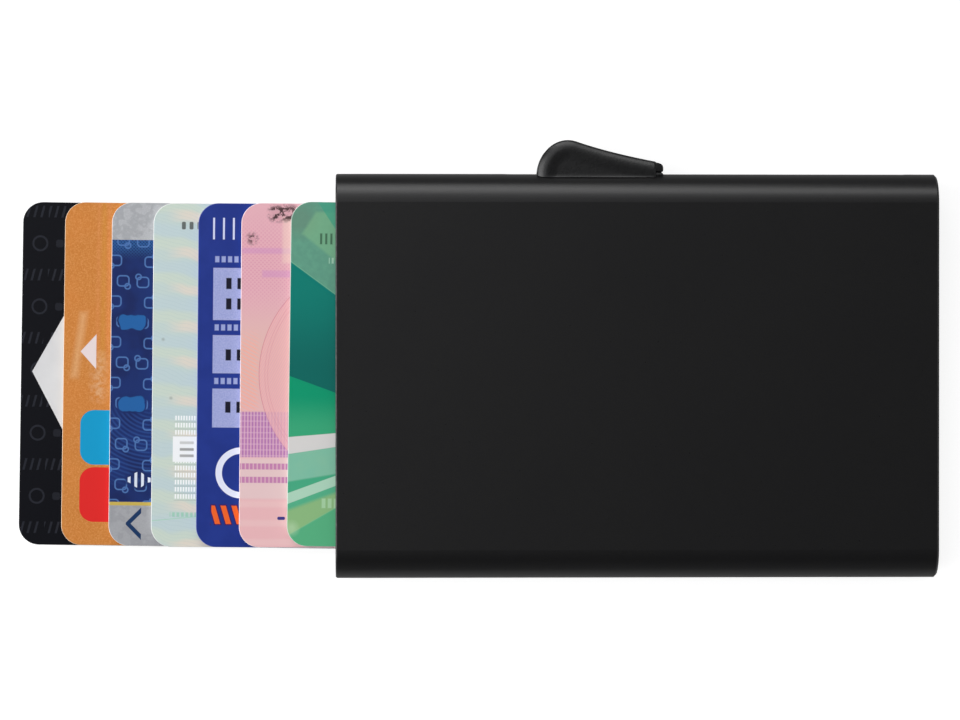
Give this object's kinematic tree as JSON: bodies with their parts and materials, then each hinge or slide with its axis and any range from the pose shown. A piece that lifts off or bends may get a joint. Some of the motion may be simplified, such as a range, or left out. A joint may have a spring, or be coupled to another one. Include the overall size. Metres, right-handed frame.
{
  "type": "minimalist wallet",
  "caption": "Slim metal card wallet: a thumb lever on its long side pushes a stack of payment cards out of one end as a staircase.",
  "frame": {"origin": "centre of the case's flat back face", "axes": "+X from the mouth to the closed end, +Y towards the thumb lever, +Z from the back face to the front face"},
  "size_m": [0.1446, 0.0689, 0.0094],
  "materials": {
    "black_aluminium": "bead blasted, black anodised",
    "liner_plastic": "fine moulded texture",
    "cap_plastic": "fine moulded texture",
    "felt": "short felt",
    "spring_steel": "brushed",
    "lever_plastic": "satin",
    "carriage_plastic": "natural acetal",
    "pusher_steel": "stamped stainless",
    "card_print_1": "laminated print",
    "card_print_2": "metallic laminated print",
    "card_print_3": "metallic laminated print",
    "card_print_4": "laminated print",
    "card_print_5": "laminated print",
    "card_print_6": "laminated print",
    "card_print_7": "laminated print"
  },
  "bodies": {
    "case": {"outer_case": "black_aluminium", "lower_liner": "liner_plastic", "upper_liner": "liner_plastic", "end_cap": "cap_plastic", "lower_pad": "felt", "upper_pad": "felt", "leaf_spring": "spring_steel"},
    "slider": {"thumb_lever": "lever_plastic", "slider_carriage": "carriage_plastic"},
    "pusher_1": {"pusher_1": "pusher_steel"},
    "pusher_2": {"pusher_2": "pusher_steel"},
    "pusher_3": {"pusher_3": "pusher_steel"},
    "pusher_4": {"pusher_4": "pusher_steel"},
    "pusher_5": {"pusher_5": "pusher_steel"},
    "pusher_6": {"pusher_6": "pusher_steel"},
    "pusher_7": {"pusher_7": "pusher_steel"},
    "card_1": {"card_1": "card_print_1"},
    "card_2": {"card_2": "card_print_2"},
    "card_3": {"card_3": "card_print_3"},
    "card_4": {"card_4": "card_print_4"},
    "card_5": {"card_5": "card_print_5"},
    "card_6": {"card_6": "card_print_6"},
    "card_7": {"card_7": "card_print_7"}
  },
  "joints": [
    {"name": "lever_slide", "type": "slide", "parent": "case", "child": "slider", "axis": [1, 0, 0], "range_m": [0, 0.043]},
    {"name": "pusher_slide_1", "type": "slide", "parent": "case", "child": "pusher_1", "axis": [1, 0, 0], "range_m": [0, 0.0503]},
    {"name": "pusher_slide_2", "type": "slide", "parent": "case", "child": "pusher_2", "axis": [1, 0, 0], "range_m": [0, 0.04313]},
    {"name": "pusher_slide_3", "type": "slide", "parent": "case", "child": "pusher_3", "axis": [1, 0, 0], "range_m": [0, 0.03596]},
    {"name": "pusher_slide_4", "type": "slide", "parent": "case", "child": "pusher_4", "axis": [1, 0, 0], "range_m": [0, 0.02879]},
    {"name": "pusher_slide_5", "type": "slide", "parent": "case", "child": "pusher_5", "axis": [1, 0, 0], "range_m": [0, 0.02161]},
    {"name": "pusher_slide_6", "type": "slide", "parent": "case", "child": "pusher_6", "axis": [1, 0, 0], "range_m": [0, 0.01444]},
    {"name": "pusher_slide_7", "type": "slide", "parent": "case", "child": "pusher_7", "axis": [1, 0, 0], "range_m": [0, 0.00727]},
    {"name": "card_pull_1", "type": "slide", "parent": "pusher_1", "child": "card_1", "axis": [-1, 0, 0], "range_m": [0, 0.087]},
    {"name": "card_pull_2", "type": "slide", "parent": "pusher_2", "child": "card_2", "axis": [-1, 0, 0], "range_m": [0, 0.087]},
    {"name": "card_pull_3", "type": "slide", "parent": "pusher_3", "child": "card_3", "axis": [-1, 0, 0], "range_m": [0, 0.087]},
    {"name": "card_pull_4", "type": "slide", "parent": "pusher_4", "child": "card_4", "axis": [-1, 0, 0], "range_m": [0, 0.087]},
    {"name": "card_pull_5", "type": "slide", "parent": "pusher_5", "child": "card_5", "axis": [-1, 0, 0], "range_m": [0, 0.087]},
    {"name": "card_pull_6", "type": "slide", "parent": "pusher_6", "child": "card_6", "axis": [-1, 0, 0], "range_m": [0, 0.087]},
    {"name": "card_pull_7", "type": "slide", "parent": "pusher_7", "child": "card_7", "axis": [-1, 0, 0], "range_m": [0, 0.087]}
  ],
  "couplings": [
    {"joint": "pusher_slide_1", "follows": "lever_slide", "ratio": 1.1674},
    {"joint": "pusher_slide_2", "follows": "lever_slide", "ratio": 1.0007},
    {"joint": "pusher_slide_3", "follows": "lever_slide", "ratio": 0.83389},
    {"joint": "pusher_slide_4", "follows": "lever_slide", "ratio": 0.66711},
    {"joint": "pusher_slide_5", "follows": "lever_slide", "ratio": 0.50033},
    {"joint": "pusher_slide_6", "follows": "lever_slide", "ratio": 0.33355},
    {"joint": "pusher_slide_7", "follows": "lever_slide", "ratio": 0.16678}
  ]
}
